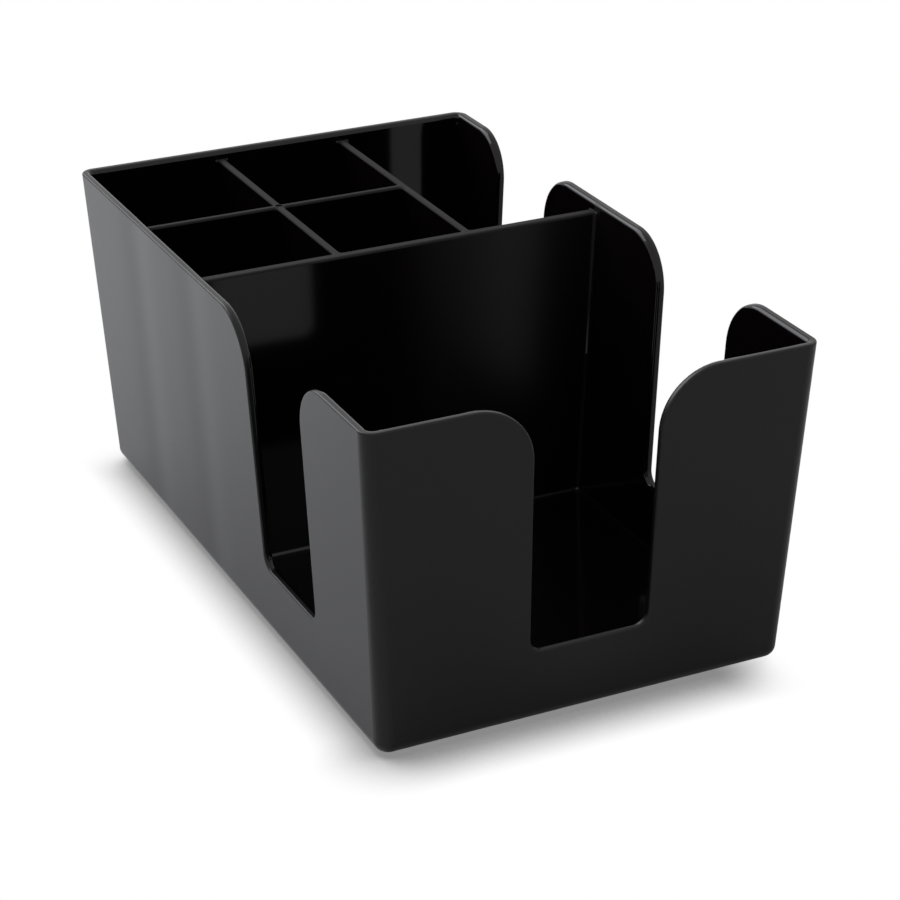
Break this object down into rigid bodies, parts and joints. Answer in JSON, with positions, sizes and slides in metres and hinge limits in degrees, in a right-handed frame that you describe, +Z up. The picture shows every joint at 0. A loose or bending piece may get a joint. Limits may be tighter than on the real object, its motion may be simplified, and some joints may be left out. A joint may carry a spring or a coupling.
{
  "type": "bar caddy",
  "caption": "Open-topped bar caddy moulded in one piece, with a notched napkin bay, straw cells and a coaster bay, on rubber feet.",
  "frame": {"origin": "on the surface that the caddy stands on, under the middle of its bounding box", "axes": "+X to the right, +Y from the napkin bay at the front to the cells at the rear, +Z up"},
  "size_m": [0.146, 0.241, 0.1075],
  "materials": {
    "body": "black injection-moulded ABS, fine satin grain outside and smoother inside",
    "feet": "matt black rubber"
  },
  "bodies": {
    "root": {"caddy_body": "body", "foot_front_left": "feet", "foot_front_right": "feet", "foot_rear_left": "feet", "foot_rear_right": "feet"}
  },
  "joints": []
}
